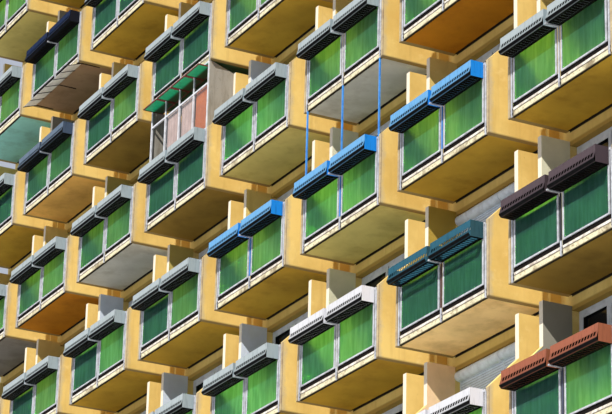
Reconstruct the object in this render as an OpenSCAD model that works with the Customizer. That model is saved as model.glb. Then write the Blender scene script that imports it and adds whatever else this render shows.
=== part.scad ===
// Apartment block with a grid of identical balconies along its front.
// X runs along the front, Y runs into the building and Z is up.
// The origin is on the ground, in the middle of everything that the block covers.
// Depths in the names below are counted from the front plane of the balconies.

/* [Building] */
// Number of bays along the front
bays = 8; // [8:1:11]
// Distance from one bay to the next
bay_pitch = 3600; // [3200:10:4200]
// Number of storeys that have balconies
balcony_storeys = 10; // [10:1:12]
// Height from one storey to the next
storey_h = 2800; // [2700:10:3000]
// Height from the ground to the underside of the first balcony
ground_storey_h = 4200; // [3400:10:5000]
// Depth of the building behind its front wall face
building_depth = 12000; // [8000:50:15000]

/* [Walls and floors] */
// Thickness of the front wall beside a window
front_wall_t = 350; // [320:5:450]
// How far the wall between two balconies stands back
recess_d = 200; // [100:5:220]
// Width of the strip of wall that shows beside a balcony
strip_w = 85; // [40:5:120]
// Thickness of the rear wall
rear_wall_t = 300; // [200:5:400]
// Thickness of the plain wall at each end
end_wall_t = 250; // [200:5:400]
// Thickness of the floors and the roof
floor_t = 200; // [160:5:260]
// Thickness of the slab on the ground
ground_slab_t = 200; // [150:5:300]
// Height of the roof parapet
parapet_h = 900; // [400:10:1200]
// Thickness of the roof parapet
parapet_t = 150; // [120:5:150]
// Thickness of the coping on the parapet
coping_t = 60; // [40:5:100]
// How far the coping stands out on each side
coping_lip = 40; // [20:5:60]

/* [Windows] */
// Height of the lintel below a balcony's underside
lintel_h = 260; // [180:5:320]
// Depth of the front windows behind the front wall face
window_set = 160; // [60:5:200]
// Thickness of a sealed window unit
window_glass_t = 24; // [16:2:40]
// Height of the window sill above the ground slab
ground_sill_h = 1000; // [600:10:1200]
// Height of the window and door heads above the ground slab
ground_head_h = 2400; // [2100:10:2800]
// Width of an entrance doorway
doorway_w = 1400; // [1000:10:1800]
// Width of a rear window
rear_window_w = 1600; // [1000:10:2000]
// Height of a rear window sill above its floor
rear_sill_h = 900; // [700:10:1100]

/* [Balcony] */
// Width of a balcony over its side walls
balcony_w = 3000; // [2600:10:3400]
// Depth of a balcony in front of the wall
balcony_depth = 1100; // [900:10:1500]
// Thickness of a balcony slab
slab_t = 155; // [140:5:200]
// Thickness of a side wall
side_t = 108; // [90:2:150]
// Height of a side wall at the front, above the balcony's underside
side_front_h = 1305; // [1300:5:1400]
// Width of the rebate in a side wall's inner front corner, where the end post stands
rebate_w = 52; // [38:1:68]
// Depth at which the side wall becomes a full fin
fin_d = 557; // [300:1:700]
// Slope of the side wall's top edge
side_slope = 45; // [20:1:50]
// Gap between the fin and the balcony above
fin_gap = 185; // [100:5:300]
// Height of the metal strip on the slab's front edge
edge_strip_h = 52; // [40:1:90]
// Thickness of the metal strip on the slab's front edge
edge_strip_t = 6; // [4:1:10]

/* [Railing] */
// Width of a railing post
post_w = 34; // [30:1:50]
// Depth of a railing post
post_d = 18; // [12:1:60]
// Gap between an end post and the lip that the rebate leaves on a side wall
post_gap = 28; // [10:1:40]
// Height of the posts above the balcony's underside
post_h = 1250; // [1100:10:1260]
// Height of the handrail on the posts
handrail_h = 40; // [20:1:50]
// Depth of the handrail
handrail_d = 40; // [36:1:60]
// Gap between a post and a glazed frame
frame_gap = 40; // [34:1:60]
// Height of the frame's bottom rail above the slab
frame_lift = 80; // [40:1:120]
// Width of the frame's upright members
stile_w = 42; // [25:1:60]
// Height of the frame's rails
frame_rail_h = 28; // [15:1:45]
// Thickness of the frame
frame_t = 18; // [10:1:36]
// Thickness of the green pane
pane_t = 6; // [4:1:10]

/* [Planters] */
// Gap between an end post and a planter
planter_post_gap = 42; // [5:1:60]
// Gap between the two planters of a balcony
planter_gap = 108; // [80:1:140]
// Depth of a planter
planter_d = 240; // [180:2:320]
// Height of a planter
planter_h = 283; // [240:1:320]
// Height of a planter's underside above the balcony's underside
planter_z = 1015; // [900:5:1050]
// Height of the upright part of a planter's front
planter_face_h = 118; // [80:1:150]
// How far the front flares out below its upright part
flare_out = 37; // [15:1:60]
// Height of the bottom of the flare above the planter's underside
flare_z = 43; // [25:1:70]
// Thickness of the planter's sheet metal
sheet_t = 4; // [2:1:6]
// Height of the arm between two planters
arm_h = 25; // [12:1:60]

/* [Closed balcony] */
// Width of the bars that close one balcony above its rail
glazing_bar_w = 36; // [24:1:50]
// Depth of the bars that close one balcony
glazing_bar_d = 34; // [20:1:40]
// Distance from the slab above down to the transom's underside
transom_drop = 510; // [400:10:900]
// Thickness of the panes between the bars
glazing_pane_t = 6; // [4:1:10]
// Thickness of the panel that closes a side above the side wall
side_panel_t = 20; // [12:1:40]
// How far an open vent stands out in front
vent_out = 220; // [120:5:260]
// How far an open vent reaches in
vent_in = 230; // [120:5:350]
// Distance from the slab above down to the underside of an open vent
vent_drop = 130; // [110:5:300]
// Thickness of an open vent's frame
vent_t = 22; // [14:1:30]

/* [Props and sunshade] */
// Width of the props on one balcony's rail
prop_w = 28; // [18:1:32]
// How far the sunshade reaches in front
sunshade_out = 215; // [100:5:260]
// Depth of the sunshade's inner edge
sunshade_in = 115; // [60:5:200]
// How far the sunshade's outer edge hangs down
sunshade_drop = 124; // [60:2:160]
// Depth at which the sunshade's arms end
sunshade_arm_d = 550; // [400:10:900]
// Thickness of the sunshade's ribs
rib_t = 14; // [8:1:24]
// Thickness of the sunshade's canvas
canvas_t = 4; // [2:1:8]
// Number of ribs below the canvas, with an arm at every third one
rib_count = 7; // [7:3:7]

/* [Roller shutters] */
// Height of a roller shutter's box
shutter_box_h = 180; // [140:2:220]
// Thickness of a roller shutter
shutter_t = 10; // [6:1:20]
// Gap between the two shutters of a window
shutter_gap = 16; // [8:1:40]

/* [Hidden] */
// Balconies with painted planters, each as bay from the left and storey
sky_blue_places = [[4, 6], [5, 6], [6, 6]];
teal_places = [[6, 5], [7, 7]];
white_places = [[5, 5], [6, 4]];
brown_places = [[7, 5]];
terracotta_places = [[7, 4]];
dark_blue_places = [[1, 9]];
blue_grey_places = [[1, 8]];
painted_places = concat(sky_blue_places, teal_places, white_places, brown_places, terracotta_places,
    dark_blue_places, blue_grey_places);
all_places = [for (k = [1:balcony_storeys]) for (i = [0:bays - 1]) [i, k]];
grey_places = [for (place = all_places) if (!holds(painted_places, place)) place];
// Balconies with something of their own, each as bay from the left and storey
closed_place = [3, 7];
propped_place = [5, 6];
sunshade_place = [1, 9];
shuttered_places = [[6, 5], [6, 4]];
// Bays of the ground storey that hold an entrance
entrance_bays = [2, 5];

opening_w = balcony_w - 2 * side_t;
lip_w = side_t - rebate_w;
pilaster_w = side_t + strip_w;
front_w = (bays - 1) * bay_pitch + balcony_w + 2 * strip_w;
block_w = front_w + 2 * end_wall_t;
wall_d = balcony_depth;
recess_face_d = wall_d + recess_d;
wall_back_d = wall_d + front_wall_t;
rear_d = wall_d + building_depth;
rear_inner_d = rear_d - rear_wall_t;
window_d = wall_d + window_set;
reach_front_d = -(planter_d + flare_out);
reach_rear_d = rear_d + coping_lip;
front_y = -(reach_front_d + reach_rear_d) / 2;
roof_z = soffit_z(balcony_storeys + 1) + slab_t;
fin_top_h = storey_h - fin_gap;
end_post_x = balcony_w / 2 - lip_w - post_gap - post_w / 2;
frame_x0 = post_w / 2 + frame_gap;
frame_w = end_post_x - post_w / 2 - frame_gap - frame_x0;
pane_w = frame_w - 2 * stile_w;
frame_z = slab_t + frame_lift;
planter_end_x = end_post_x - post_w / 2 - planter_post_gap;
planter_w = planter_end_x - planter_gap / 2;
rail_top_z = post_h + handrail_h;
transom_z = storey_h - transom_drop;
vent_z = storey_h - vent_drop;
glazing_step = (opening_w - glazing_bar_w) / 4;
// Space left when one shape cuts another
cut = 1;

function bay_x(i) = (i - (bays - 1) / 2) * bay_pitch;
function soffit_z(k) = ground_storey_h + (k - 1) * storey_h;
function floor_z(k) = soffit_z(k) + slab_t;
function head_z(k) = k == 0 ? ground_slab_t + ground_head_h : soffit_z(k + 1) - lintel_h;
function sill_z(k) = k == 0 ? ground_slab_t + ground_sill_h : floor_z(k) + rear_sill_h;
function holds(list, value) = len([for (entry = list) if (entry == value) entry]) > 0;

// Box between two corners, with its depth counted from the front plane of the balconies
module block(low, high) {
    translate([low.x, front_y + low.y, low.z]) cube(high - low);
}

// Puts a shape drawn from a balcony's middle and underside at each of the listed places
module at_places(places) {
    for (place = places) translate([bay_x(place[0]), 0, soffit_z(place[1])]) children();
}

// Outline in depth and height, drawn out along X between two values
module along_x(x0, x1, points) {
    translate([x0, front_y, 0]) rotate([90, 0, 90]) linear_extrude(x1 - x0) polygon(points);
}

module ground_slab() {
    color("silver") block([-block_w / 2, wall_d, 0], [block_w / 2, rear_d, ground_slab_t]);
}

module floor_slabs() {
    color("silver") for (k = [1:balcony_storeys])
        block([-front_w / 2, wall_back_d, floor_z(k) - floor_t], [front_w / 2, rear_inner_d, floor_z(k)]);
}

module roof_slab() {
    color("dimgray")
        block([-front_w / 2, wall_back_d, roof_z - floor_t], [front_w / 2, rear_inner_d, roof_z]);
}

module end_wall(side) {
    inner = side * front_w / 2;
    outer = side * block_w / 2;
    color("sandybrown")
        block([min(inner, outer), recess_face_d, ground_slab_t], [max(inner, outer), rear_d, roof_z]);
}

module left_end_wall() {
    end_wall(-1);
}

module right_end_wall() {
    end_wall(1);
}

// Two full height strips of wall beside the windows of each bay
module front_pilasters() {
    color("khaki") for (i = [0:bays - 1]) for (side = [-1, 1]) {
        inner = bay_x(i) + side * opening_w / 2;
        outer = inner + side * pilaster_w;
        block([min(inner, outer), wall_d, ground_slab_t], [max(inner, outer), wall_back_d, roof_z]);
    }
}

// Set back wall between two bays
module front_wall_panels() {
    half = balcony_w / 2 + strip_w;
    color("khaki") for (i = [0:bays - 2])
        block([bay_x(i) + half, recess_face_d, ground_slab_t], [bay_x(i + 1) - half, wall_back_d, roof_z]);
}

module front_lintels() {
    color("khaki") for (k = [0:balcony_storeys]) for (i = [0:bays - 1])
        block([bay_x(i) - opening_w / 2, wall_d, head_z(k)],
            [bay_x(i) + opening_w / 2, wall_back_d, floor_z(k + 1)]);
}

// Wall below each ground storey window, and beside each entrance doorway
module ground_front_walls() {
    color("khaki") for (i = [0:bays - 1])
        if (holds(entrance_bays, i)) {
            for (side = [-1, 1]) {
                inner = bay_x(i) + side * doorway_w / 2;
                outer = bay_x(i) + side * opening_w / 2;
                block([min(inner, outer), wall_d, ground_slab_t],
                    [max(inner, outer), wall_back_d, head_z(0)]);
            }
        } else {
            block([bay_x(i) - opening_w / 2, wall_d, ground_slab_t],
                [bay_x(i) + opening_w / 2, wall_back_d, sill_z(0)]);
        }
}

// Full height strips of rear wall between the windows and at both ends
module rear_piers() {
    color("khaki") for (i = [0:bays]) {
        left = i == 0 ? -front_w / 2 : bay_x(i - 1) + rear_window_w / 2;
        right = i == bays ? front_w / 2 : bay_x(i) - rear_window_w / 2;
        block([left, rear_inner_d, ground_slab_t], [right, rear_d, roof_z]);
    }
}

// Rear wall above and below each window
module rear_spandrels() {
    color("khaki") for (k = [0:balcony_storeys + 1]) for (i = [0:bays - 1]) {
        low = k == 0 ? ground_slab_t : head_z(k - 1);
        high = k == balcony_storeys + 1 ? roof_z : sill_z(k);
        block([bay_x(i) - rear_window_w / 2, rear_inner_d, low],
            [bay_x(i) + rear_window_w / 2, rear_d, high]);
    }
}

// One sealed unit closes each front window
module front_window_glass() {
    color("lightsteelblue") for (k = [0:balcony_storeys]) for (i = [0:bays - 1])
        if (k > 0 || !holds(entrance_bays, i))
            block([bay_x(i) - opening_w / 2, window_d, k == 0 ? sill_z(0) : floor_z(k)],
                [bay_x(i) + opening_w / 2, window_d + window_glass_t, head_z(k)]);
}

module rear_window_glass() {
    glass_d = rear_d - rear_wall_t / 2;
    color("lightsteelblue") for (k = [0:balcony_storeys]) for (i = [0:bays - 1])
        block([bay_x(i) - rear_window_w / 2, glass_d, sill_z(k)],
            [bay_x(i) + rear_window_w / 2, glass_d + window_glass_t, head_z(k)]);
}

module front_parapet() {
    color("khaki") block([-block_w / 2, recess_face_d, roof_z],
        [block_w / 2, recess_face_d + parapet_t, roof_z + parapet_h]);
}

module rear_parapet() {
    color("khaki")
        block([-block_w / 2, rear_d - parapet_t, roof_z], [block_w / 2, rear_d, roof_z + parapet_h]);
}

module end_parapets() {
    color("khaki") for (side = [-1, 1]) {
        outer = side * block_w / 2;
        inner = outer - side * parapet_t;
        block([min(inner, outer), recess_face_d + parapet_t, roof_z],
            [max(inner, outer), rear_d - parapet_t, roof_z + parapet_h]);
    }
}

// Copings on the front and rear parapets
module long_copings() {
    color("gainsboro") for (face_d = [recess_face_d, rear_d - parapet_t])
        block([-block_w / 2 - coping_lip, face_d - coping_lip, roof_z + parapet_h],
            [block_w / 2 + coping_lip, face_d + parapet_t + coping_lip, roof_z + parapet_h + coping_t]);
}

module end_copings() {
    color("gainsboro") for (side = [-1, 1]) {
        outer = side * (block_w / 2 + coping_lip);
        inner = side * (block_w / 2 - parapet_t - coping_lip);
        block([min(inner, outer), recess_face_d + parapet_t + coping_lip, roof_z + parapet_h],
            [max(inner, outer), rear_d - parapet_t - coping_lip, roof_z + parapet_h + coping_t]);
    }
}

module balcony_slabs() {
    color("darkgoldenrod") at_places(all_places)
        block([-opening_w / 2, post_d, 0], [opening_w / 2, balcony_depth, slab_t]);
}

// Side walls with a low sloping front, and a fin that reaches up near the next balcony
module side_wall(side) {
    outer = side * balcony_w / 2;
    inner = outer - side * side_t;
    lip = outer - side * lip_w;
    fin_foot_h = side_front_h + fin_d * tan(side_slope);
    difference() {
        along_x(min(inner, outer), max(inner, outer), [[0, 0], [balcony_depth, 0], [balcony_depth, fin_top_h],
            [fin_d, fin_top_h], [fin_d, fin_foot_h], [0, side_front_h]]);
        // Rebate in the inner front corner, where the end post stands
        block([min(inner - side * cut, lip), -cut, -cut], [max(inner - side * cut, lip), post_d, fin_foot_h]);
    }
}

module balcony_side_walls() {
    color("goldenrod") at_places(all_places) for (side = [-1, 1]) side_wall(side);
}

// Metal strips on the slab's front edge, on both sides of the middle post
module slab_edge_strips() {
    color("white") at_places(all_places) for (side = [-1, 1]) {
        inner = side * post_w / 2;
        outer = side * (end_post_x - post_w / 2);
        block([min(inner, outer), post_d - edge_strip_t, slab_t - edge_strip_h],
            [max(inner, outer), post_d, slab_t]);
    }
}

module railing_posts() {
    color("white") at_places(all_places)
        for (x = [-end_post_x, 0, end_post_x])
            block([x - post_w / 2, 0, 0], [x + post_w / 2, post_d, post_h]);
}

module handrails() {
    color("white") at_places(all_places)
        block([-opening_w / 2, 0, post_h], [opening_w / 2, handrail_d, post_h + handrail_h]);
}

// Left edge of a glazed frame on one side of the balcony's middle
function frame_x(side) = side < 0 ? -frame_x0 - frame_w : frame_x0;

// Two frames hang below the handrail, each around one pane
module railing_frames() {
    color("white") at_places(all_places) for (side = [-1, 1]) difference() {
        block([frame_x(side), 0, frame_z], [frame_x(side) + frame_w, frame_t, post_h]);
        block([frame_x(side) + stile_w, -cut, frame_z + frame_rail_h],
            [frame_x(side) + stile_w + pane_w, frame_t + cut, post_h - frame_rail_h]);
    }
}

module railing_panes() {
    front = (frame_t - pane_t) / 2;
    color("seagreen", 0.7) at_places(all_places) for (side = [-1, 1])
        block([frame_x(side) + stile_w, front, frame_z + frame_rail_h],
            [frame_x(side) + stile_w + pane_w, front + pane_t, post_h - frame_rail_h]);
}

// Section of the folded sheet: upright back, floor, lip turned in, flared band and upright face
function planter_section() = [
    [0, planter_h], [0, 0], [-planter_d, 0], [-planter_d - flare_out, flare_z],
    [-planter_d, planter_h - planter_face_h], [-planter_d, planter_h],
    [-planter_d + sheet_t, planter_h], [-planter_d + sheet_t, planter_h - planter_face_h - sheet_t / 2],
    [-planter_d - flare_out + 1.5 * sheet_t, flare_z + sheet_t / 4],
    [-planter_d + sheet_t / 2, sheet_t], [-sheet_t, sheet_t], [-sheet_t, planter_h]
];

// One trough of folded sheet with a flat plate at each end, drawn from its own underside
module planter(x) {
    along_x(x, x + planter_w, planter_section());
    for (end_x = [x, x + planter_w - sheet_t])
        block([end_x, -planter_d, 0], [end_x + sheet_t, 0, planter_h]);
}

module planters(places) {
    at_places(places) translate([0, 0, planter_z])
        for (x = [-planter_end_x, planter_gap / 2]) planter(x);
}

module planters_grey() {
    color("lightslategray") planters(grey_places);
}

module planters_sky_blue() {
    color("lightskyblue") planters(sky_blue_places);
}

module planters_teal() {
    color("cadetblue") planters(teal_places);
}

module planters_white() {
    color("whitesmoke") planters(white_places);
}

module planters_brown() {
    color("rosybrown") planters(brown_places);
}

module planters_terracotta() {
    color("sienna") planters(terracotta_places);
}

module planters_dark_blue() {
    color("midnightblue") planters(dark_blue_places);
}

module planters_blue_grey() {
    color("slategray") planters(blue_grey_places);
}

// Arm from the middle post, below the gap between both planters
module planter_arms() {
    color("dimgray") at_places(all_places)
        block([-post_w / 2, -planter_d, planter_z], [post_w / 2, 0, planter_z + arm_h]);
}

// Left edge of the clear space between two bars of the glazing
function glazing_x(n) = -opening_w / 2 + glazing_bar_w + n * glazing_step;

// Bars on the handrail that close one balcony up to the slab above, in two rows of four
module glazing_frame() {
    color("white") at_places([closed_place]) difference() {
        block([-opening_w / 2, 0, rail_top_z], [opening_w / 2, glazing_bar_d, storey_h]);
        for (n = [0:3]) for (z = [[rail_top_z + glazing_bar_w, transom_z], [transom_z + glazing_bar_w,
            storey_h - glazing_bar_w]])
            block([glazing_x(n), -cut, z[0]], [glazing_x(n + 1) - glazing_bar_w, glazing_bar_d + cut, z[1]]);
    }
}

// Panes of the lower row, which is open on the left
module glazing_panes() {
    front = (glazing_bar_d - glazing_pane_t) / 2;
    color("lightsteelblue", 0.7) at_places([closed_place]) for (n = [1:3])
        block([glazing_x(n), front, rail_top_z + glazing_bar_w],
            [glazing_x(n + 1) - glazing_bar_w, front + glazing_pane_t, transom_z]);
}

// Panels that stand on the side walls' slopes and end at the fins
module glazing_side_panels() {
    color("darkgray") at_places([closed_place]) for (side = [-1, 1]) {
        inner = side * opening_w / 2;
        outer = inner + side * side_panel_t;
        along_x(min(inner, outer), max(inner, outer), [[post_d, side_front_h + post_d * tan(side_slope)],
            [fin_d, side_front_h + fin_d * tan(side_slope)], [fin_d, fin_top_h], [post_d, storey_h]]);
    }
}

// Section of an open vent between two depths and two distances from its faces
function vent_section(front, back, inset) = [
    [front, vent_z + inset], [back, vent_z + inset],
    [back, vent_z + vent_t - inset], [front, vent_z + vent_t - inset]
];

// Vents of the upper row, which stand open as flat frames between the bars
module vent_frames() {
    color("maroon") at_places([closed_place]) for (n = [0:3]) difference() {
        along_x(glazing_x(n), glazing_x(n + 1) - glazing_bar_w, vent_section(-vent_out, vent_in, 0));
        along_x(glazing_x(n) + vent_t, glazing_x(n + 1) - glazing_bar_w - vent_t,
            vent_section(-vent_out + vent_t, vent_in - vent_t, -cut));
    }
}

module vent_panes() {
    color("mediumseagreen") at_places([closed_place]) for (n = [0:3])
        along_x(glazing_x(n) + vent_t, glazing_x(n + 1) - glazing_bar_w - vent_t,
            vent_section(-vent_out + vent_t, vent_in - vent_t, (vent_t - glazing_pane_t) / 2));
}

// Props from the handrail to the slab above, behind the middle and both ends of the planters
module rail_props() {
    reach = (opening_w - prop_w) / 2;
    front = (handrail_d - prop_w) / 2;
    color("deepskyblue") at_places([propped_place]) for (x = [-reach, 0, reach])
        block([x - prop_w / 2, front, rail_top_z], [x + prop_w / 2, front + prop_w, storey_h]);
}

// Canvas that slopes out and down from the underside of one slab
module sunshade_canvas() {
    color("beige") at_places([sunshade_place])
        along_x(-opening_w / 2, opening_w / 2, [[-sunshade_out, -sunshade_drop], [sunshade_in, -canvas_t],
            [sunshade_in, 0], [-sunshade_out, canvas_t - sunshade_drop]]);
}

// Ribs below the canvas, some of which run on as arms along the slab
module sunshade_ribs() {
    step = (opening_w - rib_t) / (rib_count - 1);
    color("dimgray") at_places([sunshade_place]) for (n = [0:rib_count - 1]) {
        x = -opening_w / 2 + n * step;
        back = n % 3 == 0 ? sunshade_arm_d : sunshade_in + rib_t;
        along_x(x, x + rib_t, [[-sunshade_out, -sunshade_drop - rib_t], [sunshade_in, -canvas_t - rib_t],
            [back, -canvas_t - rib_t], [back, 0], [sunshade_in, 0], [sunshade_in, -canvas_t],
            [-sunshade_out, -sunshade_drop]]);
    }
}

// Depth of a roller shutter's box, which ends at the window
function shutter_box_section() = [
    [window_d, head_z(1) - soffit_z(1)],
    for (angle = [90:15:270]) [window_d - shutter_box_h / 2 + shutter_box_h / 2 * cos(angle),
        head_z(1) - soffit_z(1) - shutter_box_h / 2 + shutter_box_h / 2 * sin(angle)],
    [window_d, head_z(1) - soffit_z(1) - shutter_box_h]
];

// Round fronted boxes below the lintel, two to a window
module shutter_boxes() {
    color("lightgray") at_places(shuttered_places) {
        along_x(-opening_w / 2, -shutter_gap / 2, shutter_box_section());
        along_x(shutter_gap / 2, opening_w / 2, shutter_box_section());
    }
}

// Closed shutters that hang from their boxes down to the balcony's floor
module roller_shutters() {
    front = window_d - shutter_box_h / 3;
    color("gainsboro") at_places(shuttered_places) for (side = [-1, 1]) {
        inner = side * shutter_gap / 2;
        outer = side * opening_w / 2;
        block([min(inner, outer), front, slab_t],
            [max(inner, outer), front + shutter_t, head_z(1) - soffit_z(1) - shutter_box_h]);
    }
}

ground_slab();
floor_slabs();
roof_slab();
left_end_wall();
right_end_wall();
front_pilasters();
front_wall_panels();
front_lintels();
ground_front_walls();
rear_piers();
rear_spandrels();
front_window_glass();
rear_window_glass();
front_parapet();
rear_parapet();
end_parapets();
long_copings();
end_copings();
balcony_slabs();
balcony_side_walls();
slab_edge_strips();
railing_posts();
handrails();
railing_frames();
railing_panes();
planters_grey();
planters_sky_blue();
planters_teal();
planters_white();
planters_brown();
planters_terracotta();
planters_dark_blue();
planters_blue_grey();
planter_arms();
glazing_frame();
glazing_panes();
glazing_side_panels();
vent_frames();
vent_panes();
rail_props();
sunshade_canvas();
sunshade_ribs();
shutter_boxes();
roller_shutters();
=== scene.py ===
# %% [markdown]
# # An apartment block with a grid of balconies
# The long front of this block is one balcony repeated eighty times: a concrete slab between two side walls, green
# ribbed glass in light metal frames, and a pair of planters hung on the handrail. This notebook loads the measured
# model, lights it, and gives each piece the paint, dirt and small parts that the real one has. The measured pieces are
# never moved or reshaped: they get finishes, and a new piece takes over only where the real shape is finer.

# %% Load the measured model
import bpy
import numpy as np
from math import radians, sin, cos
from mathutils import Matrix, Vector


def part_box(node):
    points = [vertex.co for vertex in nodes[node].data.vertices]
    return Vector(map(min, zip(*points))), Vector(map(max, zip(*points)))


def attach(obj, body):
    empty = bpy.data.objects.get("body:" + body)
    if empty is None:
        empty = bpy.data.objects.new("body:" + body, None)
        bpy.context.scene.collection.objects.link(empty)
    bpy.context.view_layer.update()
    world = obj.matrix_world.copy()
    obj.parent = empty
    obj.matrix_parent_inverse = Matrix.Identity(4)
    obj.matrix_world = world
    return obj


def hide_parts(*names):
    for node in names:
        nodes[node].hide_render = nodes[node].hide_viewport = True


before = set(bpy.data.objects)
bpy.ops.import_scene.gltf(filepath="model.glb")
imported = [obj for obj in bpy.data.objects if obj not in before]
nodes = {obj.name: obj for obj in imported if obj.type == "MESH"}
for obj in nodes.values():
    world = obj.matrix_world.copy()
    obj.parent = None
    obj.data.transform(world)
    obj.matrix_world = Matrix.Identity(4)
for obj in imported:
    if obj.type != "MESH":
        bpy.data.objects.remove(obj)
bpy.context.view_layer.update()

# %% [markdown]
# ## The grid that everything sits on
# The real block is one plan stacked ten times, so every balcony has the same sizes. Its parts could be placed one by
# one, or with array modifiers. Here a balcony is named by its bay, counted from the left, and its storey, and a short
# formula gives its place, because paints differ from flat to flat and are picked by those two numbers. On a balcony,
# x counts from the middle of the bay, y from the front plane of the handrails, and z from the underside of its slab.

# %% Sizes of the grid, in metres
BAYS, BAY = 8, 3.6  # how many bays, and the width of one
STOREYS, STOREY = 10, 2.8  # how many storeys with balconies, and the height of one
FIRST = 4.2  # height of the lowest balcony's underside
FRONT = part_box("handrails")[0].y  # front plane of the handrails
SLAB = 0.155  # thickness of a balcony's slab
EDGE = 0.0185  # depth at which the narrow front faces of slabs and side walls end
INSIDE = 1.391  # from the middle to 1 mm short of a side wall
WALL = 1.099  # depth to 1 mm short of the wall behind


def bay_x(i):
    """Middle of bay i: bays are 3.6 m apart and centred on zero."""
    return (np.asarray(i) - (BAYS - 1) / 2) * BAY


def soffit_z(k):
    """Underside of the balcony of storey k, 2.8 m above the one below."""
    return FIRST + (np.asarray(k) - 1) * STOREY


all_places = [(i, k) for k in range(1, STOREYS + 1) for i in range(BAYS)]
print("front plane at y =", round(FRONT, 4), "balconies", len(all_places))

# %% [markdown]
# ## From arrays to meshes
# A mesh can be drawn by hand, or point by point in a loop. Here every shape is worked out as whole arrays of points
# and faces, which Blender takes in one go, because that is quick and keeps a shape's formula in one place.

# %% Put points and faces into an object
def put_mesh(name, points, faces, material, colours=None, smooth=False):
    """Makes one object. points is n by 3, and faces is a list of arrays, each m by corners for one kind of face.
    colours, if given, is one colour for each point and becomes the attribute paint."""
    mesh = bpy.data.meshes.new(name)
    points = np.asarray(points, np.float32).reshape(-1, 3)
    faces = [np.asarray(f, np.int32) for f in faces if len(f)]
    totals = np.concatenate([np.full(len(f), f.shape[1], np.int32) for f in faces])
    corners = np.concatenate([f.ravel() for f in faces])
    mesh.vertices.add(len(points))
    mesh.vertices.foreach_set("co", points.ravel())
    mesh.loops.add(len(corners))
    mesh.loops.foreach_set("vertex_index", corners)
    mesh.polygons.add(len(totals))
    mesh.polygons.foreach_set("loop_start", np.concatenate([[0], np.cumsum(totals)[:-1]]).astype(np.int32))
    mesh.polygons.foreach_set("loop_total", totals)
    mesh.update(calc_edges=True)
    mesh.validate()
    if colours is not None:
        layer = mesh.color_attributes.new("paint", "FLOAT_COLOR", "POINT")
        full = np.ones((len(points), 4), np.float32)
        full[:, :3] = colours
        layer.data.foreach_set("color", full.ravel())
    mesh.polygons.foreach_set("use_smooth", np.full(len(totals), smooth))
    mesh.materials.append(material)
    piece = bpy.data.objects.new(name, mesh)
    bpy.context.scene.collection.objects.link(piece)
    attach(piece, "root")
    print(f"{name}: {len(points)} points, {int((totals - 2).sum())} triangles")
    return piece


# %% [markdown]
# ## Repeating and joining shapes
# The same foot, frame or trough is wanted at eighty balconies. Eighty objects would be slow and would drift apart when
# one is changed. Here a part is drawn once, in the balcony's own measures, and every place's offset is added to every
# point in one sum, so that all copies are one piece and always the same.

# %% Repeat a shape at many places
def at_places(points, faces, places):
    """Adds each place's offset, its bay along X and its storey along Z, to every point of one balcony's shape, and
    counts the faces on by the number of points."""
    points = np.asarray(points, float).reshape(-1, 3)
    offset = np.array([(bay_x(i), FRONT, soffit_z(k)) for i, k in places], float)
    many = (offset[:, None, :] + points[None]).reshape(-1, 3)
    step = (np.arange(len(places)) * len(points))[:, None, None]
    return many, [(step + np.asarray(f, np.int64)[None]).reshape(-1, np.asarray(f).shape[1]) for f in faces]


def per_place(values, count):
    """Repeats one value of each place for all the points of its shape."""
    return np.repeat(np.asarray(values, float), count, axis=0)


def join(*shapes):
    """Joins shapes, each points and a list of faces, by counting the faces of each on past the points before it."""
    points, faces, start = [], [], 0
    for p, fs in shapes:
        p = np.asarray(p, float).reshape(-1, 3)
        points.append(p)
        faces += [np.asarray(f, np.int64) + start for f in fs]
        start += len(p)
    return np.concatenate(points), faces


def grid(rows, columns):
    """Faces of a grid of points that is listed row by row."""
    start = (np.arange(rows - 1)[:, None] * columns + np.arange(columns - 1)).ravel()
    return np.stack([start, start + 1, start + columns + 1, start + columns], 1)


print("one point at all places makes", len(at_places([(0, 0, 0)], [], all_places)[0]), "points")

# %% [markdown]
# ## Rods, strips and plates
# The metal parts of a balcony are rolled bars and folded strips, whose long edges are slightly rounded and catch the
# light. A cube with a Bevel modifier would show that too, but costs too many faces when it is repeated eighty times.
# Cutting off only the four long edges gives the same thin highlight with ten faces.

# %% Bars with eased edges, and outlines drawn out sideways
def bar(xs, ys, zs, ease=0.002):
    """A straight bar between two values along each axis. Its section is a rectangle with its four corners cut off by
    ease, carried along the bar's longest side."""
    low, high = np.array([xs, ys, zs], float).T
    along = int(np.argmax(high - low))
    u, v = [axis for axis in range(3) if axis != along]
    e = min(ease, (high - low)[u] / 3, (high - low)[v] / 3)
    us = np.array([low[u] + e, high[u] - e, high[u], high[u], high[u] - e, low[u] + e, low[u], low[u]])
    vs = np.array([low[v], low[v], low[v] + e, high[v] - e, high[v], high[v], high[v] - e, low[v] + e])
    points = np.zeros((2, 8, 3))
    points[:, :, u], points[:, :, v] = us, vs
    points[0, :, along], points[1, :, along] = low[along], high[along]
    around = np.arange(8)
    sides = np.stack([around, (around + 1) % 8, (around + 1) % 8 + 8, around + 8], 1)
    caps = np.stack([around[::-1], around + 8])
    if along == 1:
        sides, caps = sides[:, ::-1], caps[:, ::-1]
    return points.reshape(-1, 3), [sides, caps]


def run(profile, x0, x1):
    """A closed outline in depth and height, listed so that it runs anticlockwise seen from +X, drawn out from x0 to
    x1 and closed at both ends."""
    profile = np.asarray(profile, float)
    n = len(profile)
    points = np.zeros((2, n, 3))
    points[0, :, 0], points[1, :, 0] = x0, x1
    points[:, :, 1:] = profile
    around = np.arange(n)
    sides = np.stack([around, (around + 1) % n, (around + 1) % n + n, around + n], 1)
    return points.reshape(-1, 3), [sides, np.stack([around[::-1]]), np.stack([around + n])]


print("one bar has", len(bar((0, 1), (0, 0.1), (0, 0.1))[0]), "points")

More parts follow.
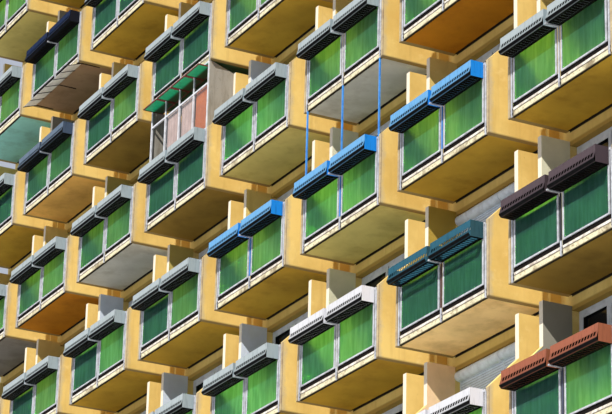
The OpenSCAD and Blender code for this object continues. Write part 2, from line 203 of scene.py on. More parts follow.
# %% [markdown]
# ## The camera
# The photograph was taken from far below with a long lens, looking steeply up and along the front. A camera can be
# moved by eye until it looks right. Here its place, direction, roll and lens were worked out from the corners of the
# balconies, because the same corners then fall on the same spots of the picture.

# %% Camera
PICTURE_WIDTH, FOCAL = 612, 2673.99  # in pixels
SENSOR = 36  # in millimetres
AZIMUTH, ELEVATION, ROLL = 62.972, 21.520, 1.5105  # in degrees
FROM_CORNER = (34.030, -20.635, -17.030)  # from a corner of the balcony in bay 6 of storey 6 to the camera


def look(azimuth, elevation, roll, place, lens):
    """Looks along the direction that azimuth turns away from +Y towards -X and elevation lifts, and then rolls the
    picture about that direction."""
    a, e, r = map(radians, (azimuth, elevation, roll))
    ahead = np.array([-sin(a) * cos(e), cos(a) * cos(e), sin(e)])
    right = np.array([cos(a), sin(a), 0.0])
    up = np.cross(right, ahead)
    right, up = cos(r) * right + sin(r) * up, -sin(r) * right + cos(r) * up
    view = bpy.data.cameras.new("camera")
    view.lens, view.sensor_width, view.clip_end = lens, SENSOR, 300.0
    holder = bpy.data.objects.new("camera", view)
    matrix = np.eye(4)
    matrix[:3, 0], matrix[:3, 1], matrix[:3, 2], matrix[:3, 3] = right, up, -ahead, place
    holder.matrix_world = Matrix(matrix.tolist())
    bpy.context.scene.collection.objects.link(holder)
    bpy.context.scene.camera = holder
    return holder


slab_corner = (float(bay_x(6)) + 1.5, FRONT + 0.005, float(soffit_z(6)))
eye = tuple(corner + way for corner, way in zip(slab_corner, FROM_CORNER))
camera = look(AZIMUTH, ELEVATION, ROLL, eye, FOCAL * SENSOR / PICTURE_WIDTH)
print("camera at", [round(v, 2) for v in eye], "lens", round(camera.data.lens, 1), "mm")

# %% [markdown]
# ## Light
# The real front is lit by the sun from high on the right, which gives the flared planters and the fins their clear
# shadows. A picture of a sky wrapped round the scene could give that light, but it can't be adjusted part by part.
# Here a distant, slightly soft lamp stands in the same direction, and a pale, bluish room light fills the shadows.

# %% Lamp and room light
def lamp(name, travel, strength, spread, colour):
    """A distant lamp that shines along the direction travel. Its disc is spread degrees wide, so that shadows have a
    soft edge."""
    light = bpy.data.lights.new(name, "SUN")
    light.energy, light.angle, light.color = strength, radians(spread), colour
    holder = bpy.data.objects.new(name, light)
    holder.rotation_euler = Vector(travel).to_track_quat("-Z", "Y").to_euler()
    bpy.context.scene.collection.objects.link(holder)
    return holder


SUNBEAM = (-0.60, 1.0, -1.05)  # to the left, into the front and down
WARM_WHITE, PALE_BLUE = (1.0, 0.97, 0.92), (0.80, 0.86, 1.0, 1)
key = lamp("key", SUNBEAM, 5.8, 0.7, WARM_WHITE)
world = bpy.data.worlds.new("room")
world.use_nodes = True
world.node_tree.nodes["Background"].inputs["Color"].default_value = PALE_BLUE
world.node_tree.nodes["Background"].inputs["Strength"].default_value = 0.58
bpy.context.scene.world = world
bpy.context.scene.view_settings.view_transform = "Standard"
print("lamp of strength", round(key.data.energy, 2))

# %% [markdown]
# ## Floor
# The block stands on a plain, pale floor that throws light up at the undersides, as the real one's surroundings do. A
# plane from the menu would be one face. The same surface is worked out here as a grid of tiles, as every other shape
# in this notebook is.

# %% Floor
REACH, TILES, BELOW = 45, 12, -0.002  # half its width, how many tiles along a side, and its height
line = np.linspace(-REACH, REACH, TILES + 1)
floor_x, floor_y = np.meshgrid(line, line, indexing="ij")
floor_points = np.stack([floor_x, floor_y, np.full_like(floor_x, BELOW)], -1).reshape(-1, 3)
floor_mesh = bpy.data.meshes.new("floor")
floor_mesh.from_pydata(floor_points.tolist(), [], grid(TILES + 1, TILES + 1)[:, ::-1].tolist())
floor_finish = bpy.data.materials.new("pale_floor")
floor_finish.use_nodes = True
floor_finish.node_tree.nodes["Principled BSDF"].inputs["Base Color"].default_value = (0.72, 0.71, 0.69, 1)
floor_mesh.materials.append(floor_finish)
floor = bpy.data.objects.new("floor", floor_mesh)
bpy.context.scene.collection.objects.link(floor)
print("a floor of", len(floor_mesh.polygons), "tiles")

# %% [markdown]
# ## Short ways to write materials
# A finish is a small net of nodes: a noise for stains, a range for where they show, a mix for the colours and a bump
# for the grain. It can be wired by hand in the shader editor. Here a class adds and links the nodes by short calls,
# because each material then reads as a list of what the real surface shows, from the coat to the dirt. The class is
# put together in three cells, and the first has only nodes and sums.

# %% Nodes and sums
class NodeNet:
    """One material: nodes around one surface shader. They read Object coordinates, which here are the building's own
    metres, so that a pattern has the same size on every piece."""

    def __init__(self, name, roughness=0.8, metallic=0.0, gloss=0.5):
        """Makes the material, and sets what is the same all over on the shader's own sockets."""
        self.material = bpy.data.materials.new(name)
        self.material.use_nodes = True
        self.tree = self.material.node_tree
        self.shader = self.tree.nodes["Principled BSDF"]
        self.shader.inputs["Roughness"].default_value = roughness
        self.shader.inputs["Metallic"].default_value = metallic
        self.shader.inputs["Specular IOR Level"].default_value = gloss
        self.place = self.add("ShaderNodeTexCoord").outputs["Object"]

    def feed(self, socket, value):
        """Links a socket to another one, or sets it to a plain value. A colour's three numbers get an opaque fourth."""
        if isinstance(value, bpy.types.NodeSocket):
            self.tree.links.new(value, socket)
        else:
            socket.default_value = (*value, 1.0) if socket.type == "RGBA" else value

    def add(self, kind, **inputs):
        """Adds a node and feeds its inputs, each called by its name, or by its number after an underscore."""
        node = self.tree.nodes.new(kind)
        for key, value in inputs.items():
            self.feed(node.inputs[int(key[1:]) if key[0] == "_" else key.replace("_", " ")], value)
        return node

    def math(self, operation, a, b=0.0):
        """One sum on one or two numbers, such as ABSOLUTE or SUBTRACT."""
        node = self.add("ShaderNodeMath", _0=a, _1=b)
        node.operation = operation
        return node.outputs[0]

    def times(self, a, b):
        """a multiplied by b."""
        return self.math("MULTIPLY", a, b)


print("nodes and sums:", [name for name in vars(NodeNet) if name[0] != "_"])

# %% [markdown]
# ## Patterns
# Stains, streaks and grain on the real walls are clouds of many sizes, and paint ends at straight lines. A picture
# could be laid on for each, but it would repeat and blur. Noises, waves and spans that read a point's place in metres
# never repeat, stay sharp close up, and need no unrolling of the surface.

# %% Clouds, waves and spans
class Patterns(NodeNet):
    """Patterns that are worked out from the place of a point."""

    def axis(self, letter):
        """The place along one axis, in metres."""
        return self.add("ShaderNodeSeparateXYZ", Vector=self.place).outputs[letter]

    def waves(self, letter, rate):
        """A sine wave along one axis, which turns by rate radians in a metre."""
        return self.math("SINE", self.times(self.axis(letter), rate))

    def noise(self, scale, detail, rough, stretch=None):
        """Clouds from 0 to 1, about scale of them in a metre. stretch multiplies the place first, which draws the
        clouds out along the axis with the smallest number."""
        place = self.place
        if stretch:
            stretched = self.add("ShaderNodeVectorMath", _0=place, _1=stretch)
            stretched.operation = "MULTIPLY"
            place = stretched.outputs[0]
        node = self.add("ShaderNodeTexNoise", Vector=place, Scale=scale, Detail=detail, Roughness=rough)
        return node.outputs["Fac"]

    def band(self, value, low, high, out_low=0.0, out_high=1.0):
        """Turns the span low to high of a value into out_low to out_high, and holds it flat outside the span."""
        node = self.add("ShaderNodeMapRange", Value=value, From_Min=low, From_Max=high,
                        To_Min=out_low, To_Max=out_high)
        return node.outputs[0]

    def under(self, value, low, high, amount=1.0):
        """The amount where a value is under low, fading to nothing at high."""
        return self.band(value, low, high, amount, 0.0)

    def near(self, value, middle, inner, outer, amount=1.0):
        """The amount where a value is within inner of the middle, fading to nothing where it is outer away."""
        return self.under(self.math("ABSOLUTE", self.math("SUBTRACT", value, middle)), inner, outer, amount)

    def patches(self, scale, detail, rough, low, high, amount=1.0, stretch=None):
        """Soft patches: nothing where a noise is under low, rising to the amount where it is over high."""
        return self.band(self.noise(scale, detail, rough, stretch), low, high, 0.0, amount)


print("patterns:", [name for name in vars(Patterns) if name[0] != "_"])

# %% [markdown]
# ## Colour, roughness and bump
# A wall, a bar and a pane differ in what the pattern does: it covers, stains, dulls or raises the surface. Each could
# have its own long net. These calls end on one shader, and each gives the finish back, so that they can be chained.

# %% What the surface takes from the patterns
class Finish(Patterns):
    """A finish, ready to be put on a piece."""

    def mix(self, share, a, b, blend="MIX"):
        """Covers colour a with colour b by a share from 0 to 1. With MULTIPLY, b darkens a as a stain does."""
        node = self.add("ShaderNodeMix")
        node.data_type, node.blend_type = "RGBA", blend
        for number, value in ((0, share), (6, a), (7, b)):
            self.feed(node.inputs[number], value)
        return node.outputs[2]

    def own_paint(self):
        """The colour that each point of a piece carries in its attribute paint."""
        node = self.add("ShaderNodeAttribute")
        node.attribute_name = "paint"
        return node.outputs["Color"]

    def colour(self, value):
        """Gives the surface its colour."""
        self.feed(self.shader.inputs["Base Color"], value)
        return self

    def rough(self, value):
        """Gives the surface a roughness that changes from spot to spot."""
        self.feed(self.shader.inputs["Roughness"], value)
        return self

    def bump(self, height, distance, strength=1.0):
        """Shades the surface as if it rose by distance where height is 1."""
        node = self.add("ShaderNodeBump", Height=height, Strength=strength, Distance=distance)
        self.feed(self.shader.inputs["Normal"], node.outputs[0])
        return self


print("surface:", [name for name in vars(Finish) if name[0] != "_"])

# %% [markdown]
# ## Where a point lies on its balcony
# Paint, dirt and painted shade follow the parts of a balcony: a rim is dark, a front edge is pale. A mask could be
# painted for each piece by hand. Two sums on the place do it for all eighty balconies at once: how high a point is
# above its own slab's underside, and how deep it is behind the handrails.

# %% Height and depth on a balcony, and colours as seen on screen
ROUNDING = 0.01  # keeps a point that lies exactly on an underside out of the storey below


def above_underside(finish):
    """Height above the underside of the slab whose storey the point is in: its height above the lowest underside, of
    which only what is left after whole storeys counts."""
    rise = finish.math("SUBTRACT", finish.axis("Z"), FIRST - ROUNDING)
    return finish.math("SUBTRACT", finish.math("FLOORED_MODULO", rise, STOREY), ROUNDING)


def behind_front(finish):
    """Depth behind the front plane of the handrails."""
    return finish.math("SUBTRACT", finish.axis("Y"), FRONT)


def srgb(r, g, b):
    """A paint's colour, given as 0 to 255 on screen, as the amounts of light that it sends back."""
    value = np.array([r, g, b]) / 255
    return tuple(float(v) for v in np.where(value <= 0.04045, value / 12.92, ((value + 0.055) / 1.055) ** 2.4))


def paint_pieces(finish, *names):
    """Gives measured pieces a finish in place of the plain one that they were loaded with."""
    for name in names:
        nodes[name].data.materials[0] = finish.material
    print(finish.material.name, "on", ", ".join(names))


print("middle grey sends back", round(srgb(128, 128, 128)[0], 3), "of the light")

# %% [markdown]
# ## Yellow render
# The walls are rendered in a warm yellow and painted over now and then. The paint is washed paler in spots, rain has
# drawn soft upright streaks, and dirt sits in small pits. A photograph of a wall would repeat itself on a front this
# long. Noises of four sizes laid over each other never do, and one function gives the same coat to every wall.

# %% Yellow render
def render_coat(finish):
    """Warm yellow, in two tones that meet in soft patches, with rain streaks, washed spots and small dark pits."""
    fresh, aged = srgb(228, 200, 120), srgb(208, 176, 96)
    rain, washed, pit = srgb(176, 142, 74), srgb(238, 216, 150), srgb(120, 96, 54)
    coat = finish.mix(finish.patches(0.9, 6, 0.62, 0.38, 0.66), fresh, aged)
    coat = finish.mix(finish.patches(1.0, 4, 0.6, 0.52, 0.80, 0.40, stretch=(7.0, 7.0, 0.5)), coat, rain)
    coat = finish.mix(finish.patches(2.6, 7, 0.7, 0.58, 0.74, 0.55), coat, washed)
    return finish.mix(finish.patches(19.0, 5, 0.7, 0.66, 0.74, 0.6), coat, pit)


def render_grain(finish, strength=0.6):
    """The sand in the render: a noise with grains of a few millimetres, which rise by up to 2 mm."""
    return finish.bump(finish.noise(160.0, 3, 0.6), 0.002, strength)


yellow = Finish("yellow_render", 0.9)
render_grain(yellow.colour(render_coat(yellow)))
paint_pieces(yellow, "left_end_wall", "right_end_wall", "front_pilasters", "front_wall_panels",
             "ground_front_walls", "rear_piers", "rear_spandrels", "front_parapet", "rear_parapet", "end_parapets")

# %% [markdown]
# ## Concrete of the balconies
# A balcony's slab shows two faces: a cream front edge, chipped and stained by rain, and an underside that is painted
# ochre. The front 50 mm of the underside is almost black: it is painted shade, which stands in for the drip groove and
# the nib in front of it. The lowest rim of the edge is darker as well. The slab could be cut up into faces with a
# material each. Telling them apart by depth and height is simpler, and the painted shade can then waver across the
# corner as it does on the real one.

# %% Slab paint, cream in front and ochre below
DRIP_SHADE = (0.064, 0.078)  # depths between which the dark strip behind the front edge fades out
WALL_GAP_SHADE = (1.070, 1.076)  # depths between which the dark joint at the wall sets in


def stains_and_edge_shade(finish, coat):
    """Adds stains to an underside, and painted shade at its drip groove in front and at the shadow gap by the wall."""
    stained = finish.mix(1.0, coat, (0.45, 0.38, 0.28), "MULTIPLY")
    coat = finish.mix(finish.patches(1.7, 6, 0.65, 0.50, 0.72, 0.45), coat, stained)
    wavering_depth = finish.math("ADD", behind_front(finish), finish.times(finish.noise(9.0, 4, 0.6), 0.02))
    # painted shade: almost black from the front edge back past the drip groove
    coat = finish.mix(finish.under(wavering_depth, *DRIP_SHADE), coat, srgb(30, 24, 12))
    # painted shade of the shadow gap where the underside meets the wall
    return finish.mix(finish.band(wavering_depth, *WALL_GAP_SHADE), coat, srgb(26, 22, 16))


slab_paint = Finish("slab_paint", 0.9, gloss=0.2)
chips = slab_paint.noise(14.0, 6, 0.7, stretch=(1.0, 1.0, 2.2))
bare_stone, old_stain, dark_rim = srgb(146, 130, 100), srgb(112, 94, 68), srgb(58, 50, 30)
cream = slab_paint.mix(slab_paint.band(chips, 0.52, 0.66), srgb(208, 199, 166), bare_stone)
cream = slab_paint.mix(slab_paint.patches(3.2, 5, 0.6, 0.50, 0.66, 0.8), cream, old_stain)
# the lowest rim of the front edge is darker
cream = slab_paint.mix(slab_paint.under(above_underside(slab_paint), 0.010, 0.026), cream, dark_rim)
ochre = slab_paint.mix(slab_paint.patches(0.8, 5, 0.6, 0.35, 0.68), srgb(190, 152, 48), srgb(166, 130, 38))
front_face = slab_paint.under(behind_front(slab_paint), EDGE, EDGE + 0.001)
two_faces = slab_paint.mix(front_face, stains_and_edge_shade(slab_paint, ochre), cream)
tiled_top = slab_paint.band(above_underside(slab_paint), SLAB - 0.002, SLAB - 0.001)
slab_paint.colour(slab_paint.mix(tiled_top, two_faces, srgb(52, 46, 42))).bump(chips, 0.002, 0.5)
paint_pieces(slab_paint, "balcony_slabs")

# %% [markdown]
# ## Undersides in other paints
# Some flats have painted the underside above their own balcony. Inside the glazed balcony, a dark green skin is
# painted shade, tinted green as the light in there is. A material for each paint would work, but they would all be
# alike apart from one colour. Here each coat is a thin skin below the slab, a millimetre proud of it, that carries
# its colour as an attribute, so that one material serves all of them.

# %% Painted undersides
coat_paint = Finish("coat_paint", 0.9, gloss=0.2)
mottled = coat_paint.mix(coat_paint.patches(1.1, 6, 0.6, 0.40, 0.70, 0.30), coat_paint.own_paint(),
                         (0.30, 0.26, 0.18), "MULTIPLY")
is_underside = coat_paint.under(above_underside(coat_paint), 0.002, 0.010)
coat_paint.colour(coat_paint.mix(is_underside, mottled, stains_and_edge_shade(coat_paint, mottled)))
render_grain(coat_paint, 0.5)


def painted_skins(name, shape, coats):
    """Puts one balcony's skin at each place of each coat, and gives all its points the coat's colour."""
    places = [place for _, chosen in coats.values() for place in chosen]
    colours = [colour for colour, chosen in coats.values() for _ in chosen]
    piece = put_mesh(name, *at_places(*shape, places), coat_paint.material, per_place(colours, len(shape[0])))
    return piece


undersides = {
    "grey_white": (srgb(196, 196, 186), ((2, 7), (5, 7))),
    "peach": (srgb(255, 218, 150), ((6, 5),)),
    "teal": (srgb(150, 214, 204), ((0, 9),)),
    "brown": (srgb(150, 122, 92), ((1, 9),)),
    "dull": (srgb(134, 130, 124), ((0, 7),)),
    "tan": (srgb(226, 176, 92), ((1, 8),)),
    # painted shade: the dark green inside the glazed balcony
    "green_tinted_shade": (srgb(58, 88, 60), ((3, 8),)),
    "orange": (srgb(184, 118, 14), ((1, 7), (6, 7))),
    "olive": (srgb(205, 190, 112), ((0, 10), (5, 6), (4, 7))),
    "dark": (srgb(140, 112, 44), ((3, 7), (7, 5), (2, 8))),
}
under_skin = bar((-INSIDE, INSIDE), (EDGE, WALL), (-0.001, 0.0005), 0.0004)
painted_skins("painted_undersides", under_skin, undersides)

# %% [markdown]
# ## Side walls of the balconies
# The side walls carry the same yellow render on their outer sides. Their narrow front edges face the sun: low down
# they are weathered to a dull cream, and the front edges of the fins are still almost white. These edges are only some
# centimetres wide, so a mask painted over the whole front would blur them. Depth and height find them to a millimetre.

# %% Side wall paint with its front edges
FIN_FRONT, FIN_FOOT = 0.557, 1.86  # depth of a fin's front edge, and where it starts above the underside
LIP_TOP = (1.300, 1.330)  # heights between which the dull cream of the front edge fades out below the slope
cheek = Finish("side_wall_paint", 0.9)
depth, height = behind_front(cheek), above_underside(cheek)
specks = cheek.patches(34.0, 5, 0.7, 0.60, 0.68, 0.85)
lip_clouds = cheek.patches(1.0, 5, 0.65, 0.40, 0.70, stretch=(1.0, 1.0, 5.0))
dull_cream, worn_cream, speck_tone = srgb(174, 157, 122), srgb(142, 124, 98), srgb(96, 78, 54)
lip_tone = cheek.mix(specks, cheek.mix(lip_clouds, dull_cream, worn_cream), speck_tone)
front_lip = cheek.near(depth, 0.009, 0.0095, 0.0105)
face = cheek.mix(cheek.times(front_lip, cheek.under(height, *LIP_TOP)), render_coat(cheek), lip_tone)
fin_edge = cheek.times(cheek.near(depth, FIN_FRONT, 0.002, 0.004), cheek.band(height, FIN_FOOT, FIN_FOOT + 0.004))
almost_white, washed_rim = srgb(216, 206, 186), srgb(190, 176, 142)
rim_speck, foot_shade = srgb(110, 94, 66), srgb(92, 74, 40)
face = cheek.mix(fin_edge, face, almost_white)
wavering_depth = cheek.math("ADD", depth, cheek.times(cheek.noise(3.0, 6, 0.7), -0.24))
worn_rim = cheek.times(cheek.under(wavering_depth, -0.10, -0.02, 0.8), cheek.band(depth, 0.019, 0.021))
face = cheek.mix(worn_rim, face, washed_rim)
face = cheek.mix(cheek.times(worn_rim, specks), face, rim_speck)
# painted shade: darker along the bottom edge of each side wall
face = cheek.mix(cheek.under(height, 0.004, 0.030, 0.75), face, foot_shade)
render_grain(cheek.colour(face))
paint_pieces(cheek, "balcony_side_walls")

# %% [markdown]
# ## Lintels over the windows
# The band of wall above each window has the yellow render too, with a darker stain along its foot and a black joint
# under the slab above, which is painted shade of the shadow gap there. The joint could be a groove in the mesh. It is
# only a thin dark line from below, so a tone by height is enough.

# %% Lintel render with its stain and joint
STAIN_TOP, GAP_SHADE_FOOT = (2.600, 2.630), (2.764, 2.776)  # heights between which the stain and the joint fade
lintel = Finish("lintel_render", 0.9, gloss=0.2)
height = above_underside(lintel)
stained_foot = lintel.mix(lintel.under(height, *STAIN_TOP), render_coat(lintel), srgb(172, 140, 70))
# painted shade of the shadow gap under the slab above, as a dark band at the lintel's top
joint = lintel.math("MAXIMUM", lintel.band(height, *GAP_SHADE_FOOT), lintel.under(height, 0.0, 0.001))
render_grain(lintel.colour(lintel.mix(joint, stained_foot, srgb(40, 32, 20))))
paint_pieces(lintel, "front_lintels")

# %% [markdown]
# ## Inner sides in other paints
# The inner sides of the side walls belong to the flats as well, and many are grey, brown or peach. As with the
# undersides, each coat is a thin skin rather than a material of its own. Its outline is the side wall's above the
# floor, with the sloping front and the step up to the fin, and it lies a millimetre inside the opening.

# %% Painted inner sides
FIN_TOP, INTO_WALL = 2.6145, 0.0015
slope_and_fin = [(EDGE, SLAB), (WALL, SLAB), (WALL, FIN_TOP), (FIN_FRONT + 0.0005, FIN_TOP),
                 (FIN_FRONT + 0.0005, FIN_FOOT + 0.001), (EDGE, 1.322)]
both_sides = join(run(slope_and_fin, -INSIDE - INTO_WALL, -INSIDE), run(slope_and_fin, INSIDE, INSIDE + INTO_WALL))
inner_sides = {
    "blue_grey": (srgb(212, 222, 236), ((3, 5), (4, 5), (2, 6), (4, 7))),
    "grey_olive": (srgb(228, 224, 194), ((5, 5), (7, 5), (5, 6))),
    "peach": (srgb(248, 212, 168), ((6, 4),)),
    "dark_grey": (srgb(150, 146, 132), ((7, 4), (1, 8), (1, 9))),
    "olive": (srgb(188, 168, 92), ((3, 6), (2, 7))),
    "dark_olive": (srgb(176, 148, 62), ((6, 5),)),
}
painted_skins("painted_inner_sides", both_sides, inner_sides)

# %% [markdown]
# ## Painted metal
# Posts, handrail, frames and strips are steel and aluminium with a white paint that has dulled to a bluish grey, and
# rust shows where it has failed. One plain grey would look like plastic. Here a slow noise moves the paint between a
# clean and a dull tone, the same noise makes the dull parts rougher, and the peaks of a finer noise are rust. Other
# metal pieces take the same recipe in their own paints.

# %% White, cream and blue metal paint
def worn_metal(name, clean, dull, rust=(0.66, 0.72), last_layer=None):
    """Paint in a clean and a dull tone that meet in small clouds, with rust where a fine noise is over the span rust.
    last_layer, if given, is a function that lays one more tone over the coat."""
    metal = Finish(name, 0.5)
    grime = metal.noise(7.0, 6, 0.65)
    rusty = metal.patches(24.0, 6, 0.7, *rust)
    coat = metal.mix(metal.band(grime, 0.42, 0.66), clean, dull)
    coat = metal.mix(rusty, coat, srgb(118, 72, 46))
    metal.colour(last_layer(metal, coat) if last_layer else coat).rough(metal.band(grime, 0.3, 0.7, 0.4, 0.62))
    return metal.bump(rusty, 0.0006, 0.6)


def shaded_foot(metal, coat):
    """Painted shade along the lower edge of a strip that stands proud, up to a line that wavers by 30 mm."""
    line = metal.math("ADD", above_underside(metal), metal.times(metal.noise(5.0, 6, 0.7), 0.03))
    return metal.mix(metal.under(line, 0.126, 0.134, 0.8), coat, srgb(66, 56, 44))


white_metal = worn_metal("white_metal_paint", srgb(184, 186, 192), srgb(140, 141, 146))
# the strip gets painted shade along its lower edge
strip_metal = worn_metal("strip_metal", srgb(224, 217, 204), srgb(156, 144, 128), (0.58, 0.66), shaded_foot)
blue_metal = worn_metal("sky_blue_metal", srgb(70, 146, 220), srgb(44, 116, 196), (0.74, 0.80))
paint_pieces(white_metal, "railing_posts", "handrails", "railing_frames", "planter_arms")
paint_pieces(strip_metal, "slab_edge_strips")
paint_pieces(blue_metal, "rail_props")

# %% [markdown]
# ## Feet of the posts
# Each post is bolted to the slab's front edge through a dull plate, and a small gusset stiffens it above the slab.
# Bolts could be cylinders, but each is less than a pixel wide and there are 960 of them, so short bars with cut edges
# do as well for a third of the faces.

# %% Post feet and bolts
POST_X = (-1.399, 0.0, 1.399)
BOLT, BOLT_X, BOLT_Z = 0.008, 0.028, (0.055, 0.122)  # half a bolt's width, and where bolts sit on a plate


def foot(x):
    """A plate over the slab's edge with a gusset behind the post, and the four bolts in the plate."""
    plate = bar((x - 0.042, x + 0.042), (0.0100, 0.0165), (0.028, 0.150))
    four = [bar((bx - BOLT, bx + BOLT), (0.0030, 0.0105), (z - BOLT, z + BOLT), 0.003)
            for bx in (x - BOLT_X, x + BOLT_X) for z in BOLT_Z]
    gusset = run([(0.0175, SLAB), (0.033, SLAB), (0.033, 0.162), (0.0175, 0.232)], x - 0.004, x + 0.004)
    return join(plate, gusset), join(*four)


plates, bolts = [join(*parts) for parts in zip(*[foot(x) for x in POST_X])]
foot_metal = worn_metal("foot_metal", srgb(96, 93, 88), srgb(48, 44, 38), (0.56, 0.64))
dark_metal = Finish("dark_metal", 0.8, gloss=0.05)
dark_metal.colour(dark_metal.mix(dark_metal.noise(18.0, 5, 0.6), srgb(10, 10, 11), srgb(34, 28, 24)))
post_feet = put_mesh("post_feet", *at_places(*plates, all_places), foot_metal.material)
foot_bolts = put_mesh("foot_bolts", *at_places(*bolts, all_places), dark_metal.material)

# %% [markdown]
# ## Toe plates
# A black plate behind each glazed frame closes the gap above the slab, so that small things can't roll off. Its
# near-black paint is also painted shade: it keeps the gap behind the frame dark. A darker band painted on the glass
# would look the same from the front, but the gap shows from below, so the plate is real.

# %% Toe plates
TOE_LONG, TOE_TOP = 1.356, 0.246
toes = join(*[bar((x0, x0 + TOE_LONG), (0.024, 0.030), (SLAB, TOE_TOP), 0.001) for x0 in (-1.376, 0.020)])
toe_plates = put_mesh("toe_plates", *at_places(*toes, all_places), dark_metal.material)

# %% [markdown]
# ## Green ribbed glass
# The railings hold green glass with fine upright ribs. It filters the light: the sunlit yellow wall behind it shows
# lime green and the dark windows behind it show a deep teal, while the sun on its own ribbed face lays a pale green
# over both. An opaque green would show the same tone everywhere. Plain clear glass would show what is behind too
# sharply, and would keep the lamp from the wall. So the finish refracts the view through a rough green filter, which
# the lamp passes straight, and lays a thin share of a rough green surface over that.

# %% Green glass
OWN_FACE = 0.18  # share of the view that is the glass's own face
green = Finish("green_ribbed_glass", 0.3, gloss=0.3)
face_tone = green.mix(green.patches(1.4, 4, 0.6, 0.35, 0.68), srgb(74, 122, 123), srgb(92, 147, 148))
face_streaks = green.patches(1.0, 4, 0.6, 0.50, 0.72, 0.35, stretch=(30.0, 1.0, 1.2))
green.colour(green.mix(face_streaks, face_tone, srgb(32, 80, 72))).bump(green.waves("X", 400.0), 0.0006, 0.8)
cloudy = green.patches(1.0, 4, 0.62, 0.36, 0.66, stretch=(14.0, 1.0, 1.6))
tint = green.mix(cloudy, (0.42, 0.80, 0.20), (0.62, 1.0, 0.36))
for_eyes = green.add("ShaderNodeBsdfRefraction", Color=tint, Roughness=0.34, IOR=1.25)
for_lamps = green.add("ShaderNodeBsdfTransparent", Color=tint)
to_lamp = green.add("ShaderNodeLightPath").outputs["Is Shadow Ray"]
filtered = green.add("ShaderNodeMixShader", Fac=to_lamp, _1=for_eyes.outputs[0], _2=for_lamps.outputs[0])
whole = green.add("ShaderNodeMixShader", Fac=OWN_FACE, _1=filtered.outputs[0], _2=green.shader.outputs[0])
green.feed(green.tree.nodes["Material Output"].inputs["Surface"], whole.outputs[0])
paint_pieces(green, "railing_panes")

# %% [markdown]
# ## Boards behind some panes
# Some panes look deep teal, while an open railing lets the sunlit wall shine through in lime. A dark board stands
# behind each teal pane. The panes themselves could be given a second, darker green, but then they would stay dark
# from every side. A board behind them darkens them only where it really stands.

# %% Dark boards behind the panes
BOARD_Y, BOARD_Z = (0.037, 0.042), (0.238, 1.000)
backing = Finish("dark_board", 0.9, gloss=0.1)
upright_streaks = backing.patches(1.0, 4, 0.6, 0.35, 0.70, stretch=(40.0, 1.0, 1.5))
backing.colour(backing.mix(upright_streaks, srgb(38, 48, 64), srgb(14, 20, 30)))
closed_panes = {
    "left_pane_boards": (-1.338, -0.062, [(3, 8), (3, 7), (7, 5), (2, 8), (2, 6), (1, 6), (3, 6), (7, 4), (2, 9),
                                          (0, 6), (6, 5)]),
    "right_pane_boards": (0.062, 1.338, [(3, 8), (3, 7), (7, 5), (2, 9), (0, 8), (6, 5)]),
}
for name, (x0, x1, places) in closed_panes.items():
    board_shape = bar((x0, x1), BOARD_Y, BOARD_Z, 0.001)
    put_mesh(name, *at_places(*board_shape, places), backing.material)

# %% [markdown]
# ## Window glass
# Behind each balcony the glass is dark, because the rooms are, with a film of dust and a little reflection. Clear
# glass would show the bare rooms of the model, and black paint would look dead. So the glass is nearly opaque, almost
# black, and smooth, with clouds of dust that are a little paler and rougher.

# %% Window glass
window_glass = Finish("window_glass", 0.06, gloss=0.25)
dust = window_glass.noise(1.0, 5, 0.65, stretch=(3.0, 3.0, 0.8))
window_glass.colour(window_glass.mix(window_glass.band(dust, 0.45, 0.75), srgb(7, 9, 11), srgb(24, 27, 31)))
window_glass.rough(window_glass.band(dust, 0.3, 0.7, 0.04, 0.14))
window_glass.shader.inputs["Alpha"].default_value = 0.97
paint_pieces(window_glass, "front_window_glass", "rear_window_glass")

# %% [markdown]
# ## Windows and balcony doors
# A wide white frame fills the opening behind each balcony, with a door in one half and a window above a panel in the
# other. Frames could be cut out of a plate, but real ones are put together from bars, and each bar keeps its own
# edges. One function draws a ring of four bars, and a window is a few rings and rails.

# %% Frames of the balcony windows
FRAME_Y, LEAF_Y = (1.225, 1.262), (1.208, 1.226)  # depths of the fixed frame, and of the door leaf and sashes
INNER_Z, LEAF_Z, SASH_Z = (0.225, 2.469), (0.228, 2.466), (1.053, 2.466)  # heights: in the frame, of leaf and sashes
MIDDLE_POST = (0.28, 0.37)
OVERLAP, EASE = 0.001, 0.004


def rail(xs, ys, zs):
    """A bar whose edges are eased by 4 mm, as a window's are."""
    return bar(xs, ys, zs, EASE)


def ring(xs, ys, zs, wide):
    """Four bars around a rectangle, each wide across. The level ones run 1 mm into the upright ones, so that no two
    bars share an edge."""
    level = (xs[0] + wide - OVERLAP, xs[1] - wide + OVERLAP)
    return join(rail((xs[0], xs[0] + wide), ys, zs), rail((xs[1] - wide, xs[1]), ys, zs),
                rail(level, ys, (zs[0], zs[0] + wide)), rail(level, ys, (zs[1] - wide, zs[1])))


def balcony_window(door_side):
    """The frame round the opening and a post between its halves; a door leaf with a middle rail in one half; a sill
    over a low panel with two sashes above in the other. For a door on the left, every x changes its sign."""
    opening = [ring((-INSIDE, INSIDE), FRAME_Y, (SLAB, 2.539), 0.070), rail(MIDDLE_POST, (1.222, 1.262), INNER_Z)]
    door = [ring((0.375, 1.318), LEAF_Y, LEAF_Z, 0.085), rail((0.46, 1.233), LEAF_Y, (1.02, 1.10))]
    half = (-1.321, MIDDLE_POST[0])
    panel = [rail(half, (1.215, 1.262), (0.98, 1.05)), rail(half, (1.240, 1.262), (INNER_Z[0], 0.981))]
    sashes = [ring(xs, LEAF_Y, SASH_Z, 0.062) for xs in ((-1.318, -0.525), (-0.515, 0.277))]
    points, faces = join(*opening, *door, *panel, *sashes)
    if door_side < 0:
        points = points * [-1, 1, 1]
        faces = [f[:, ::-1] for f in faces]
    return points, faces


print("one balcony window has", len(balcony_window(1)[0]), "points")

# %% [markdown]
# ## Painting the windows and putting them up
# Nearly all frames are white, and two are brown. The door is on the left at some balconies and on the right at others,
# so there are two pieces, one for each hand. Mirroring by a negative scale would turn the faces inside out. Changing
# the sign of x and the order of each face's corners keeps them the right way round.

